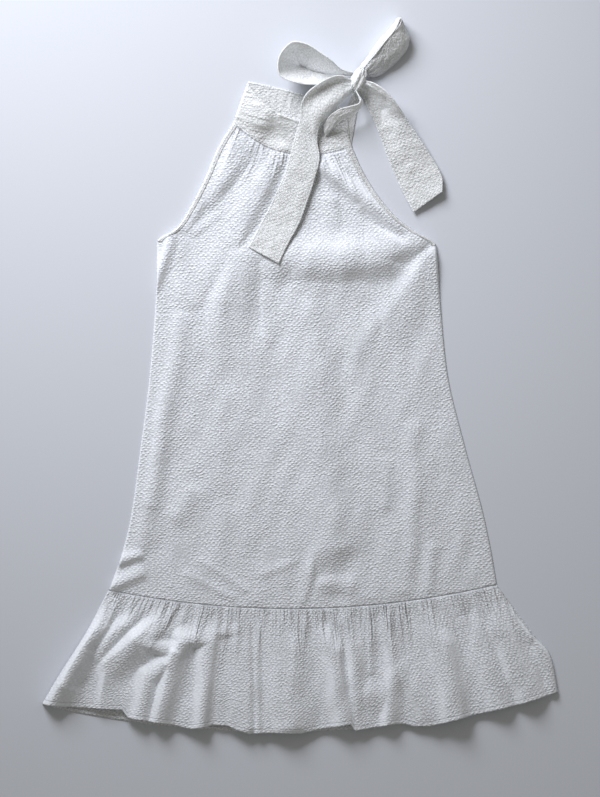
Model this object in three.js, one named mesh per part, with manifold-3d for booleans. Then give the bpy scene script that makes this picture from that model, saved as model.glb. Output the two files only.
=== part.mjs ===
// A halter dress in seersucker cotton with a dropped waist, laid flat on its back.
// Millimetres, +Z up, the neck towards +Y. The cloth lies in layers: back panel and back ruffle on the ground, the
// front panel and front ruffle on them, then the neckband, whose two ends are tied in a bow beside the neck.
import * as THREE from 'three';
import { mergeVertices } from 'three/addons/utils/BufferGeometryUtils.js';
import Module from 'manifold-3d';

const wasm = await Module();
wasm.setup();

// Driving sizes
const CLOTH = 1.2;          // one layer of the puckered cotton
const BAND = 1.8;           // neckband and ties are folded double
const GAP = 0.3;            // between neighbours, at a seam or one on the other
const PUFF = 2;             // how far the front stands off the back between the side seams
const BINDING_WIDTH = 8;    // armhole binding, as it shows on the front
const BINDING = 1.2;        // its wall
const FRONT_COLUMNS = 24;
const BACK_COLUMNS = 7;
const BODY_ROWS = 30;
const ARMHOLE_ROWS = 10;
const UNDERARM = 0.21;      // how far down the front its underarm points are, from 0 at the neck to 1 at the waist
const BACK_NECK_SAG = 8;    // the back neck is cut this shallow
const KNOT = { x: 87, y: 496, z: 15.2, halfX: 11, halfY: 18, halfZ: 13, tilt: -0.4 };
const STRIP_COLUMNS = 4;
const STRIP_STEPS = 2;      // from one rib of a strip to the next

// A short table: one name for each column, one row for each section or fold.
const table = (columns, rows) =>
  rows.map((row) => Object.fromEntries(columns.map((name, i) => [name, row[i]])));

// Crosswise rows of a panel. Each runs from its left end to its right end; its middle hangs `sag` below the straight
// line between them, and lies `skew` to the right of its middle.
const ROW = ['leftX', 'leftY', 'rightX', 'rightY', 'skew', 'sag'];

const BODY = table(ROW, [
  [-100, 434, 78, 396, -11, 28],    // neck seam
  [-123, 396, 93, 363, -7, 24],
  [-142, 352, 112, 331, -4, 18],
  [-165, 306, 142, 294, -2, 12],
  [-186, 274, 171, 271, 0, 9],
  [-214, 255, 204, 249, 0, 8],      // underarm points
  [-216, 180, 210, 168, 0, 3],
  [-225, 60, 220, 63, 0, 2],
  [-240, -60, 247, -52, 0, 6],
  [-255, -165, 273, -147, 0, 16],
  [-271, -225, 285, -202, 0, 25],
  [-287, -268, 295, -260, 0, 32],   // dropped waist seam
]);

const RUFFLE = table(ROW, [
  [-287, -268, 295, -260, 0, 32],   // dropped waist seam
  [-319, -328, 342, -327, 0, 29],
  [-355, -385, 376, -367, 0, 43],
  [-387, -438, 387, -420, 0, 52],   // hem
]);

const BACK_RUFFLE = table(ROW, [
  [-287, -268, 295, -260, 0, 32],
  [-319, -330, 343, -325, 0, 29],
  [-352, -392, 372, -368, 0, 40],
  [-372, -444, 380, -424, 0, 46],
]);

const FRONT_COLLAR = table(ROW, [
  [-79, 492, 67, 432, -15, 22],     // top edge, slumped forward
  [-90, 463, 73, 414, -13, 25],
  [-100, 434, 78, 396, -11, 28],    // neck seam
]);

const BACK_COLLAR = table(ROW, [
  [-77, 494, 70, 452, 0, -4],
  [-88, 464, 73, 425, 0, 2],
  [-100, 434, 76, 398, 0, BACK_NECK_SAG],
]);

// Folds of the front, each a soft ridge from one point to another, in the plan of the dress.
const FOLD = ['fromX', 'fromY', 'toX', 'toY', 'fromHeight', 'toHeight', 'width'];

const FRONT_FOLDS = table(FOLD, [
  [-86, 408, -150, 300, 4, 2, 12],      // gathers fanning from the neck towards the left armhole
  [-52, 388, -168, 186, 5, 2, 18],
  [-30, 382, -60, 300, 4, 3, 12],
  [32, 378, 156, 282, 9, 6, 15],        // the long fold from the knot to the right underarm
  [-14, 246, 48, 256, 5, 10, 16],       // the roll across the bust
  [48, 256, 150, 250, 10, 6, 18],
  [166, 240, 112, 166, 5, 2, 14],       // drag line from the right underarm
  [-206, 246, -212, 176, 5, 4, 12],     // the side rolling under below the left underarm
  [172, -92, 163, -260, 3, 4, 16],      // skirt
  [-178, -100, -224, -250, 3, 4, 20],
  [-60, -40, -80, -230, 2, 3, 30],
  [60, 20, 66, -220, 2, 3, 34],
]);

const COLLAR_FOLDS = table(FOLD, [
  [-62, 446, -48, 414, 9, 3, 13],       // the buckle in the front of the neckband
  [-88, 462, -70, 470, 3, 3, 12],
  [-10, 418, 20, 412, 4, 4, 14],
]);

// Folds of the ruffle, each a ridge from one point to another, steeper on its right side than on its left where
// `steep` is over 1.
const RUFFLE_FOLD = [...FOLD, 'steep'];

const RUFFLE_FOLDS = table(RUFFLE_FOLD, [
  [-286, -276, -372, -430, 4, 14, 14, 1],     // left edge
  [-246, -296, -330, -372, 5, 15, 15, 1],
  [-330, -372, -338, -446, 15, 12, 15, 1],
  [-196, -298, -256, -352, 8, 19, 19, 2],     // the two folds that overhang
  [-256, -352, -262, -462, 19, 11, 22, 1],
  [-184, -344, -146, -352, 12, 9, 12, 1],
  [-168, -350, -206, -466, 12, 12, 18, 1],
  [-120, -300, -132, -470, 4, 10, 16, 1],
  [-76, -304, -78, -476, 5, 12, 15, 1],
  [-20, -304, -32, -480, 4, 9, 20, 1],
  [36, -296, 70, -412, 8, 16, 16, 3],
  [70, -412, 78, -478, 16, 14, 16, 3],
  [96, -300, 120, -470, 4, 9, 18, 1],
  [128, -300, 150, -384, 4, 8, 14, 1],
  [150, -384, 176, -474, 8, 15, 18, 2],
  [190, -292, 226, -380, 7, 14, 14, 3],
  [226, -380, 244, -462, 14, 12, 15, 3],
  [240, -282, 296, -450, 4, 9, 20, 1],
  [272, -272, 352, -438, 4, 10, 20, 1],
  [296, -264, 380, -424, 5, 9, 13, 1],
]);

// Strips of neckband. Each row is one rib from edge a to edge b; `lift1` and `lift2` push it out a third and two
// thirds of the way across, upwards on a strip that lies flat. Heights are of the strip's middle layer. On a row that
// rests, they are added to the cloth below.
const RIB = ['ax', 'ay', 'az', 'bx', 'by', 'bz', 'lift1', 'lift2', 'rests'];

// A loop's edge a is on the ground, and its edge b is its rim.
const LEFT_LOOP = table(RIB, [
  [80, 502, 12, 79, 506, 20, 0, 0],
  [58, 506, 5, 60, 512, 29, 1, 1],
  [37, 508, 2, 44, 525, 41, 2, 2],
  [21, 518, 1.6, 22, 540, 45, 3, 3],
  [10, 530, 1.6, 4, 549, 47, 3, 3],
  [2, 528, 1.6, -14, 549, 47, 4, 4],
  [-3, 521, 1.6, -31, 528, 45, 4, 4],
  [-4, 514, 1.6, -31, 502, 42, 3, 3],
  [6, 510, 1.6, -9, 491, 39, 2, 2],
  [24, 508, 1.6, 20, 488, 30, 2, 2],
  [52, 503, 4, 48, 493, 19, 1, 1],
  [80, 499, 9, 78, 498, 16, 0, 0],
]);

const RIGHT_LOOP = table(RIB, [
  [94, 502, 10, 93, 505, 20, 0, 0],
  [115, 502, 3, 106, 519, 34, 2, 2],
  [136, 516, 1.6, 122, 540, 44, 3, 3],
  [154, 534, 1.6, 136, 557, 47, 3, 3],
  [163, 550, 1.6, 148, 573, 47, 3, 2],
  [161, 566, 1.6, 153, 583, 46, 2, 2],
  [152, 577, 1.6, 148, 590, 46, 2, 2],
  [138, 570, 1.6, 141, 583, 46, 2, 2],
  [124, 556, 1.6, 128, 567, 47, 2, 2],
  [110, 539, 2.4, 113, 548, 42, 1, 1],
  [98, 521, 6, 100, 529, 32, 0, 0],
  [88, 504, 13, 89, 507, 22, 0, 0],
]);

// The end of the neckband, standing on edge as it turns back into the knot: edge a is on the collar, b is the lip.
const FRONT_STRAP = table(RIB, [
  [38, 412, 6, 34, 427, 6, 0, 0],
  [52, 418, 8, 46, 440, 21, 2, 1],
  [65, 428, 8, 61, 450, 26, 3, 2],
  [78, 437, 7, 76, 454, 27, 3, 2],
  [88, 447, 7, 87, 458, 27, 3, 2],
  [92, 459, 8, 90, 465, 27, 2, 2],
  [88, 470, 10, 86, 472, 27, 1, 1],
  [84, 484, 12, 82, 482, 22, 0, 0],
]);

const LEFT_TAIL = table(RIB, [
  [80, 494, 17, 85, 486, 13, 0, 0],     // a is the left edge, b the right
  [61, 501, 33, 74, 474, 17, -4, 2],
  [44, 497, 40, 61, 461, 20, -7, 2],
  [26, 487, 41, 47, 448, 21, -7, 3],
  [10, 474, 34, 38, 438, 20, -5, 3],
  [2, 459, 23, 31, 430, 18, -2, 2],
  [1, 441, 17, 27, 418, 15, 0, 1],
  [-4, 424, 13, 26, 403, 12, 1, 0],
  [-13, 390, 1, 29, 376, 1, 1, 0, 1],
  [-23, 356, 0, 19, 338, 1, 1, 1, 1],
  [-46, 306, 0, 0, 284, 0, 0, 0, 1],
  [-61, 277, 0, -16, 254, 0, 0, 0, 1],
  [-77, 246, 0, -32, 221, 0, 0, 0, 1],
]);

const RIGHT_TAIL = table(RIB, [
  [88, 485, 13, 94, 495, 15, 0, 0],     // a is the inner edge, b the outer
  [94, 473, 15, 110, 490, 26, -2, 0],
  [101, 458, 14, 129, 476, 30, -3, 1],
  [108, 442, 12, 146, 456, 28, -2, 2],
  [116, 422, 7, 160, 435, 18, 1, 2],
  [129, 387, 2, 182, 405, 7, 2, 2],
  [143, 352, 1.4, 203, 372, 4, 2, 2],
  [155, 326, 3, 213, 350, 7, 1, 1],
  [170, 298, 6, 213, 329, 12, 0, 0],
]);

const BACK_STRAP = table(RIB, [
  [70.35, 452.3, 0.95, 76.35, 398.3, 0.95, 0, 0],
  [72, 461, 0.95, 82, 430, 0.95, 0, 0],
  [75, 470, 0.95, 87, 456, 0.95, 0, 0],
  [80, 484, 1.4, 94, 480, 1.4, 0, 0],
  [83, 494, 6, 92, 492, 6, 0, 0],
]);

// One of several values, `t` from 0 at the first to 1 at the last, without overshooting between them.
function along(values, places, t) {
  const last = values.length - 1;
  let i = 0;
  while (i < last - 1 && t > places[i + 1]) i++;
  const slope = (k) => (values[k + 1] - values[k]) / (places[k + 1] - places[k]);
  const tangent = (k) => {
    if (k === 0) return slope(0);
    if (k === last) return slope(last - 1);
    const [before, after] = [slope(k - 1), slope(k)];
    return before * after <= 0 ? 0 : (2 * before * after) / (before + after);
  };
  const span = places[i + 1] - places[i];
  const s = (t - places[i]) / span;
  const [s2, s3] = [s * s, s * s * s];
  return (2 * s3 - 3 * s2 + 1) * values[i] + (s3 - 2 * s2 + s) * span * tangent(i)
    + (3 * s2 - 2 * s3) * values[i + 1] + (s3 - s2) * span * tangent(i + 1);
}

// The plan of a panel: (u, v) to (x, y), u from the left edge to the right, v from the first row to the last.
function planOf(rows, shiftY = 0) {
  const middles = rows.map((r) => (r.leftY + r.rightY) / 2 - r.sag);
  const places = middles.map((y) => (y - middles[0]) / (middles.at(-1) - middles[0]));
  const column = Object.fromEntries(ROW.map((name) => [name, rows.map((r) => r[name])]));
  return (u, v) => {
    const at = (name) => along(column[name], places, v);
    const arch = 4 * u * (1 - u);
    return {
      x: at('leftX') * (1 - u) + at('rightX') * u + arch * at('skew'),
      y: at('leftY') * (1 - u) + at('rightY') * u - arch * at('sag') + shiftY,
    };
  };
}

// How high a set of folds lifts the cloth at a point of the plan.
function liftOf(folds, x, y) {
  let lift = 0;
  for (const f of folds) {
    const [dx, dy] = [f.toX - f.fromX, f.toY - f.fromY];
    const t = Math.min(1, Math.max(0, ((x - f.fromX) * dx + (y - f.fromY) * dy) / (dx * dx + dy * dy)));
    const side = (x - f.fromX) * dy - (y - f.fromY) * dx;
    const width = side < 0 ? f.width / (f.steep ?? 1) : f.width;
    const off = Math.hypot(x - f.fromX - t * dx, y - f.fromY - t * dy) / width;
    lift = Math.max(lift, (f.fromHeight + (f.toHeight - f.fromHeight) * t) * Math.exp(-off * off));
  }
  return lift;
}

// The front stands off the back everywhere but at the side seams.
const puffAt = (u) => PUFF * (1 - Math.exp(-24 * u * (1 - u)));

// A closed wall between a lower and an upper grid of points, both given as (column, row) to a Vector3.
function wall(columns, rows, lower, upper) {
  const across = columns + 1;
  const layer = across * (rows + 1);
  const positions = [];
  for (const side of [lower, upper]) {
    for (let j = 0; j <= rows; j++) {
      for (let i = 0; i <= columns; i++) positions.push(...side(i, j).toArray());
    }
  }
  const faces = [];
  const quad = (a, b, c, d) => faces.push(a, b, c, a, c, d);
  const low = (i, j) => j * across + i;
  const high = (i, j) => layer + low(i, j);
  for (let j = 0; j < rows; j++) {
    for (let i = 0; i < columns; i++) {
      quad(high(i, j), high(i, j + 1), high(i + 1, j + 1), high(i + 1, j));
      quad(low(i, j), low(i + 1, j), low(i + 1, j + 1), low(i, j + 1));
    }
  }
  for (let i = 0; i < columns; i++) {
    quad(low(i, 0), high(i, 0), high(i + 1, 0), low(i + 1, 0));
    quad(low(i + 1, rows), high(i + 1, rows), high(i, rows), low(i, rows));
  }
  for (let j = 0; j < rows; j++) {
    quad(low(0, j + 1), high(0, j + 1), high(0, j), low(0, j));
    quad(low(columns, j), high(columns, j), high(columns, j + 1), low(columns, j + 1));
  }
  const corner = (k) => new THREE.Vector3().fromArray(positions, 3 * faces[k]);
  let volume = 0;
  for (let k = 0; k < faces.length; k += 3) {
    volume += corner(k).dot(corner(k + 1).cross(corner(k + 2))) / 6;
  }
  if (volume < 0) faces.reverse();      // so that it faces outwards whichever way its grid runs
  const geometry = new THREE.BufferGeometry();
  geometry.setAttribute('position', new THREE.Float32BufferAttribute(positions, 3));
  geometry.setIndex(faces);
  return geometry;
}

// The point of a panel's underside at (u, v).
function undersideAt(plan, underside, u, v) {
  const { x, y } = plan(u, v);
  return new THREE.Vector3(x, y, underside(u, v, x, y));
}

// A grid point moved up.
const raised = (grid, by) => (i, j) => grid(i, j).add(new THREE.Vector3(0, 0, by));

// A panel lying flat, with evenly spaced columns and rows.
function panel({ columns, rows, plan, underside, thickness }) {
  const grid = (i, j) => undersideAt(plan, underside, i / columns, j / rows);
  return wall(columns, rows, grid, raised(grid, thickness));
}

const FRONT_BOTTOM = CLOTH + GAP;
const COLLAR_BOTTOM = BAND + GAP;

const frontUnderside = (u, v, x, y) => FRONT_BOTTOM + puffAt(u) + liftOf(FRONT_FOLDS, x, y);

// 0 up to `from`, 1 past `to`, and a soft step between them.
const smooth = (from, to, v) => {
  const t = Math.min(1, Math.max(0, (v - from) / (to - from)));
  return t * t * (3 - 2 * t);
};

// The ruffle and the neckband meet the front at its own height, and take up their own folds away from the seam.
const GATHER_REACH = 0.25;  // of the ruffle's length

function ruffleUnderside(u, v, x, y) {
  const own = Math.max(liftOf(FRONT_FOLDS, x, y), liftOf(RUFFLE_FOLDS, x, y));
  const shared = liftOf(FRONT_FOLDS, x, y + GAP);
  return FRONT_BOTTOM + puffAt(u) + shared + (own - shared) * smooth(0, GATHER_REACH, v);
}

function collarUnderside(u, v, x, y) {
  const own = COLLAR_BOTTOM + liftOf(COLLAR_FOLDS, x, y);
  const shared = FRONT_BOTTOM + puffAt(u) + liftOf(FRONT_FOLDS, x, y - GAP) - (BAND - CLOTH) / 2;
  return Math.max(COLLAR_BOTTOM, own + (shared - own) * smooth(0.5, 1, v));
}

// The top of the dress under a tie that rests on it: it lies on the highest folds within its reach.
const TIE_REACH = 14;
const TIE_REST = 0.4;       // clears the facets of the front

function topOfFront(x, y) {
  let lift = 0;
  for (const [dx, dy] of [[0, 0], [1, 0], [-1, 0], [0, 1], [0, -1]]) {
    lift = Math.max(lift, liftOf(FRONT_FOLDS, x + dx * TIE_REACH, y + dy * TIE_REACH));
  }
  return FRONT_BOTTOM + PUFF + CLOTH + lift + TIE_REST;
}

// A strip of neckband: ribs joined by a smooth curve along each edge, bulged between the edges.
function strip(ribs) {
  const rested = ribs.map((r) => (r.rests
    ? { ...r, az: r.az + topOfFront(r.ax, r.ay) + BAND / 2, bz: r.bz + topOfFront(r.bx, r.by) + BAND / 2 }
    : r));
  const curve = (x, y, z) => new THREE.CatmullRomCurve3(
    rested.map((r) => new THREE.Vector3(r[x], r[y], r[z])), false, 'catmullrom', 0.5);
  const [edgeA, edgeB] = [curve('ax', 'ay', 'az'), curve('bx', 'by', 'bz')];
  const rows = (ribs.length - 1) * STRIP_STEPS;
  const middle = (s, t) => {
    const [a, b] = [edgeA.getPoint(t), edgeB.getPoint(t)];
    return a.lerp(b, s);
  };
  const bulge = (s, t) => {
    const place = t * (ribs.length - 1);
    const i = Math.min(ribs.length - 2, Math.floor(place));
    const mix = (name) => rested[i][name] * (1 - place + i) + rested[i + 1][name] * (place - i);
    // A cubic that is 0 at both edges and meets lift1 and lift2 at the thirds.
    return 4.5 * s * (1 - s) * (mix('lift1') * (2 - 3 * s) + mix('lift2') * (3 * s - 1));
  };
  const normal = (s, t) => {
    const e = 0.01;
    const [s0, s1] = [Math.max(0, s - e), Math.min(1, s + e)];
    const [t0, t1] = [Math.max(0, t - e), Math.min(1, t + e)];
    const acrossWay = middle(s1, t).sub(middle(s0, t));
    const alongWay = middle(s, t1).sub(middle(s, t0));
    return alongWay.cross(acrossWay).normalize();
  };
  const point = (s, t) => middle(s, t).addScaledVector(normal(0.5, t), bulge(s, t));
  const side = (sign) => (i, j) => {
    const [s, t] = [i / STRIP_COLUMNS, j / rows];
    return point(s, t).addScaledVector(normal(s, t), (sign * BAND) / 2);
  };
  return wall(STRIP_COLUMNS, rows, side(-1), side(1));
}

// Solids for the cuts round the knot.
function solidOf(geometry) {
  const bare = geometry.clone();
  for (const name of ['normal', 'uv']) bare.deleteAttribute(name);
  const merged = mergeVertices(bare, 1e-4);
  return new wasm.Manifold(new wasm.Mesh({
    numProp: 3,
    vertProperties: new Float32Array(merged.attributes.position.array),
    triVerts: new Uint32Array(merged.index.array),
  }));
}

function geometryOf(solid) {
  const { vertProperties, triVerts } = solid.getMesh();
  const geometry = new THREE.BufferGeometry();
  geometry.setAttribute('position', new THREE.BufferAttribute(vertProperties, 3));
  geometry.setIndex(new THREE.BufferAttribute(triVerts, 1));
  return geometry;
}

const knotBody = (grow) => new THREE.SphereGeometry(1, 14, 10)
  .scale(KNOT.halfX + grow, KNOT.halfY + grow, KNOT.halfZ + grow)
  .rotateZ(KNOT.tilt)
  .translate(KNOT.x, KNOT.y, KNOT.z);

const knotRoom = solidOf(knotBody(GAP));

// A strip that ends at the knot, cut back so that it stops just clear of it.
function tied(geometry) {
  const pieces = solidOf(geometry).subtract(knotRoom).decompose();
  pieces.sort((a, b) => b.volume() - a.volume());
  return geometryOf(pieces[0]);
}

// The grid of the front panel: a narrow column under each armhole binding, and closer rows beside the armholes.
const frontPlan = planOf(BODY);

const rowPlace = (j) => (j < ARMHOLE_ROWS
  ? (UNDERARM * j) / ARMHOLE_ROWS
  : UNDERARM + ((1 - UNDERARM) * (j - ARMHOLE_ROWS)) / (BODY_ROWS - ARMHOLE_ROWS));

function frontGrid(i, j) {
  const v = rowPlace(j);
  const edge = BINDING_WIDTH / (frontPlan(1, v).x - frontPlan(0, v).x);
  const inner = edge + ((1 - 2 * edge) * (i - 1)) / (FRONT_COLUMNS - 2);
  const u = Math.min(1, Math.max(0, inner));
  return undersideAt(frontPlan, frontUnderside, i === 0 ? 0 : i === FRONT_COLUMNS ? 1 : u, v);
}

// A binding along one armhole edge, made from the points of the front that it lies on.
function binding(firstColumn) {
  const grid = (i, j) => frontGrid(firstColumn + i, j);
  return wall(1, ARMHOLE_ROWS, raised(grid, CLOTH + GAP), raised(grid, CLOTH + GAP + BINDING));
}

const COTTON = { color: 0xf1f1ee, roughness: 0.88, metalness: 0 };
const clothMaterial = new THREE.MeshStandardMaterial({ ...COTTON, name: 'seersucker' });
const bandMaterial = new THREE.MeshStandardMaterial({ ...COTTON, name: 'seersucker_band' });

const dress = new THREE.Group();

function add(name, geometry, material) {
  const mesh = new THREE.Mesh(geometry, material);
  mesh.name = name;
  dress.add(mesh);
  return mesh;
}

// The back is cut with the front's own sides, and a shallower neck.
const backPlan = planOf(BODY.map((row, i) => (i === 0 ? { ...row, sag: BACK_NECK_SAG, skew: 0 } : row)));
const backGrid = (i, j) => undersideAt(backPlan, () => 0, i / BACK_COLUMNS, rowPlace(j));

add('back_panel', wall(BACK_COLUMNS, BODY_ROWS, backGrid, raised(backGrid, CLOTH)), clothMaterial);

add('front_panel', wall(FRONT_COLUMNS, BODY_ROWS, frontGrid, raised(frontGrid, CLOTH)), clothMaterial);

add('back_ruffle', panel({
  columns: 14, rows: 4, plan: planOf(BACK_RUFFLE, -GAP), underside: () => 0, thickness: CLOTH,
}), clothMaterial);

add('front_ruffle', panel({
  columns: 64, rows: 6, plan: planOf(RUFFLE, -GAP), underside: ruffleUnderside, thickness: CLOTH,
}), clothMaterial);

add('back_collar', panel({
  columns: 12, rows: 3, plan: planOf(BACK_COLLAR, GAP), underside: () => 0, thickness: BAND,
}), bandMaterial);

add('front_collar', panel({
  columns: 16, rows: 5, plan: planOf(FRONT_COLLAR, GAP), underside: collarUnderside, thickness: BAND,
}), bandMaterial);

add('armhole_binding_left', binding(0), bandMaterial);
add('armhole_binding_right', binding(FRONT_COLUMNS - 1), bandMaterial);
add('knot', knotBody(0), bandMaterial);
add('front_strap', tied(strip(FRONT_STRAP)), bandMaterial);
add('back_strap', tied(strip(BACK_STRAP)), bandMaterial);
add('left_loop', tied(strip(LEFT_LOOP)), bandMaterial);
add('right_loop', tied(strip(RIGHT_LOOP)), bandMaterial);
add('left_tail', tied(strip(LEFT_TAIL)), bandMaterial);
add('right_tail', tied(strip(RIGHT_TAIL)), bandMaterial);

// The origin is on the ground under the middle of the whole dress.
const box = new THREE.Box3().setFromObject(dress);
const centre = box.getCenter(new THREE.Vector3());
dress.position.set(-centre.x, -centre.y, -box.min.z);

export default dress;
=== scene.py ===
# %% [markdown]
# # A white seersucker dress laid out flat
#
# The dress has a neckband tied in a bow, a long body and a gathered ruffle below a dropped waist. Every
# piece of it is a thin sheet of cloth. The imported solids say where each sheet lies, and this script gives
# each one its creases, puckers and stitching.

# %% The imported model
import math

import bmesh
import bpy
import numpy as np
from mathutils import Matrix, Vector


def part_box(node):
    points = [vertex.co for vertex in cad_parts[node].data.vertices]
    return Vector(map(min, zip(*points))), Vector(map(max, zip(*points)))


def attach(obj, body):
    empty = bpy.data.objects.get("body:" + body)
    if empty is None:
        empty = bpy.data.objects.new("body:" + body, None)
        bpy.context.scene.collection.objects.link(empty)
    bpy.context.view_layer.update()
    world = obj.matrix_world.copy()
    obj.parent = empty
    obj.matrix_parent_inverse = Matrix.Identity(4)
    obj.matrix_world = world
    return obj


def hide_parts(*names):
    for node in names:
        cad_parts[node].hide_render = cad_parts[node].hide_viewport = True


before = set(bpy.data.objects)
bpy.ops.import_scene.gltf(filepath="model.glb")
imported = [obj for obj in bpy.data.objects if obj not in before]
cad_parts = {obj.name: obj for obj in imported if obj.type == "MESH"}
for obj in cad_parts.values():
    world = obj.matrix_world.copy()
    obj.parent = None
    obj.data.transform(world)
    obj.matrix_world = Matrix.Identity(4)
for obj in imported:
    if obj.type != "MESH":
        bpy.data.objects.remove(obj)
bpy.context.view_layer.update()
print("packed pieces:", ", ".join(sorted(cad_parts)))

# %% [markdown]
# ## Sizes
#
# A dressmaker thinks in millimetres, so the tables below do too, and points become metres only when a mesh
# is written. The tables are drawn on the dress's own plan, so the script first finds how far that plan is
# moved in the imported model. The knot is a good landmark for that, because its middle is easy to measure.

# %% Sizes
MM = 0.001
CLOTH = 1.2             # wall of one layer, puckers and all
BAND = 1.8              # neckband and ties are folded double
GAP = 0.3               # between layers
PUFF = 2.0              # how far the front stands off the back
FRONT_BOTTOM = CLOTH + GAP
COLLAR_BOTTOM = BAND + GAP
BINDING_WIDTH = 8.0
UNDERARM = 0.21         # share of the front's length above its underarm points
KNOT_PLAN = (87.0, 496.0)

knot_low, knot_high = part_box("knot")
SHIFT = np.array([
    (knot_low.x + knot_high.x) / 2 / MM - KNOT_PLAN[0],
    (knot_low.y + knot_high.y) / 2 / MM - KNOT_PLAN[1],
    0.0,
])
print("plan moved by", SHIFT.round(2), "mm")

# %% [markdown]
# ## Camera and light
#
# The dress lies on a pale floor and is seen from straight above. The camera is high up with a long lens, so
# that the bow, which stands nearly 50 mm tall, isn't pushed outwards by perspective. A big soft light
# stands beyond the neck and a little to the left, like a window: it shows each crease by its far, darker
# side. The light gets weaker towards the hem, as window light does.

# %% Camera
VIEW_HEIGHT = 6.0
VIEW_LONG_SIDE = 1.1955     # metres of floor seen from top to bottom
VIEW_MIDDLE = (0.0, 19.2)   # on the plan of the dress, in mm

scene = bpy.context.scene
scene.view_settings.view_transform = "Standard"


def new_object(name, data):
    """An object in the scene."""
    made = bpy.data.objects.new(name, data)
    scene.collection.objects.link(made)
    return made


camera_data = bpy.data.cameras.new("camera")
camera_data.sensor_width = 36.0
camera_data.lens = camera_data.sensor_width * VIEW_HEIGHT / VIEW_LONG_SIDE
camera_data.clip_end = 50.0
camera = new_object("camera", camera_data)
camera.location = (
    (VIEW_MIDDLE[0] + SHIFT[0]) * MM, (VIEW_MIDDLE[1] + SHIFT[1]) * MM, VIEW_HEIGHT,
)
scene.camera = camera
print("camera at", tuple(round(x, 3) for x in camera.location), "lens", round(camera_data.lens, 1))

# %% Light
WINDOW_PLACE = (-1.0, 1.9, 1.3)
WINDOW_TARGET = (-0.3, 0.68, 0.0)
WINDOW_SIZE = 1.2
WINDOW_SPREAD = math.radians(83)
WINDOW_POWER = 18.4
DAYLIGHT = (0.958, 0.983, 1.045)
ROOM_LIGHT = (0.97, 0.952, 0.865, 1.0)
ROOM_STRENGTH = 0.24


def area_light(name, location, target, size, power, color):
    """A square soft light at a place, turned towards a target."""
    data = bpy.data.lights.new(name, "AREA")
    data.size, data.energy, data.color = size, power, color
    light = new_object(name, data)
    light.location = location
    turn = (Vector(target) - Vector(location)).to_track_quat("-Z", "Y")
    light.rotation_euler = turn.to_euler()
    return light


window = area_light("window", WINDOW_PLACE, WINDOW_TARGET, WINDOW_SIZE, WINDOW_POWER, DAYLIGHT)
window.data.spread = WINDOW_SPREAD

world = bpy.data.worlds.new("room")
scene.world = world
world.use_nodes = True
room = world.node_tree.nodes["Background"]
room.inputs["Color"].default_value = ROOM_LIGHT
room.inputs["Strength"].default_value = ROOM_STRENGTH
print("light:", WINDOW_POWER, "watts from", round(Vector(WINDOW_PLACE).length, 2), "metres away")

# %% [markdown]
# ## Small helpers for shader nodes
#
# Shader trees are easier to read when a node and its inputs are made in one line, and `put` does that. The
# group helper makes a node group with named sockets, so that one pattern can serve several finishes.


# %% Helpers for nodes
def fill(node, inputs):
    """Fills a node's inputs, given by name or number, with values or with links."""
    for key, value in inputs.items():
        if isinstance(value, bpy.types.NodeSocket):
            node.id_data.links.new(value, node.inputs[key])
        else:
            node.inputs[key].default_value = value


def put(tree, kind, inputs=None, **settings):
    """Adds a node, sets its properties and fills its inputs."""
    made = tree.nodes.new(kind)
    for key, value in settings.items():
        setattr(made, key, value)
    fill(made, inputs or {})
    return made


def new_material(name):
    """A material and its main shader."""
    material = bpy.data.materials.new(name)
    material.use_nodes = True
    return material, material.node_tree.nodes["Principled BSDF"]


def new_group(name, inputs, outputs):
    """An empty node group with named sockets, and its input and output nodes."""
    tree = bpy.data.node_groups.new(name, "ShaderNodeTree")
    for title, kind, value in inputs:
        socket = tree.interface.new_socket(title, in_out="INPUT", socket_type=kind)
        if value is not None:
            socket.default_value = value
    for title in outputs:
        tree.interface.new_socket(title, in_out="OUTPUT", socket_type="NodeSocketFloat")
    return tree, tree.nodes.new("NodeGroupInput"), tree.nodes.new("NodeGroupOutput")


print("helpers: fill, put, new_material and new_group")

# %% [markdown]
# The patterns on the cloth are sums, waves and noises. Each of these helpers adds one such node, and hands
# back its result for the next.


# %% Helpers for patterns
def calculate(tree, operation, *values):
    """A Math node's result."""
    return put(tree, "ShaderNodeMath", dict(enumerate(values)), operation=operation).outputs[0]


def vector_math(tree, operation, *values):
    """A Vector Math node's result."""
    return put(tree, "ShaderNodeVectorMath", dict(enumerate(values)), operation=operation).outputs[0]


def wave(tree, value, pitch):
    """A cosine that repeats every `pitch` metres."""
    return calculate(tree, "COSINE", calculate(tree, "MULTIPLY", value, 2 * math.pi / pitch))


def turned(tree, vector, angle):
    """A vector turned in the plane of the cloth."""
    return put(tree, "ShaderNodeVectorRotate", {"Vector": vector, "Angle": angle},
               rotation_type="Z_AXIS").outputs[0]


def noise(tree, vector, scale, detail, output="Fac"):
    """A noise texture's result."""
    made = put(tree, "ShaderNodeTexNoise", {"Vector": vector, "Scale": scale, "Detail": detail})
    return made.outputs[output]


def soft_range(tree, value, start, end):
    """0 at `start` and 1 at `end`, with a soft step between them."""
    return put(tree, "ShaderNodeMapRange", {"Value": value, "From Min": start, "From Max": end},
               interpolation_type="SMOOTHSTEP").outputs["Result"]


print("helpers: calculate, vector_math, wave, turned, noise and soft_range")

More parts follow.
